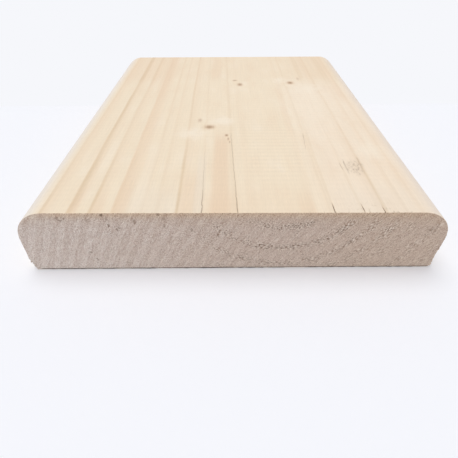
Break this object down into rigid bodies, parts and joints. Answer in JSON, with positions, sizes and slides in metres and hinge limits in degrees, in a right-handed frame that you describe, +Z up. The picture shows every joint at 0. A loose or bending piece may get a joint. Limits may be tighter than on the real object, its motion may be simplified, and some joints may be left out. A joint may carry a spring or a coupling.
{
  "type": "timber plank",
  "caption": "Planed softwood plank with rounded long edges on its face, a flat back and square sawn ends, for shelves, benches, treads and trim.",
  "frame": {"origin": "middle of the plank's back, the flat face that it lies on", "axes": "+Z up through the thickness, +Y along the grain away from the pictured end, +X across the width, to the right in the picture"},
  "size_m": [0.12, 1.2, 0.021],
  "materials": {
    "planed_spruce": "bare planed wood, matt, with sawn end grain"
  },
  "bodies": {
    "root": {"plank": "planed_spruce"}
  },
  "joints": []
}
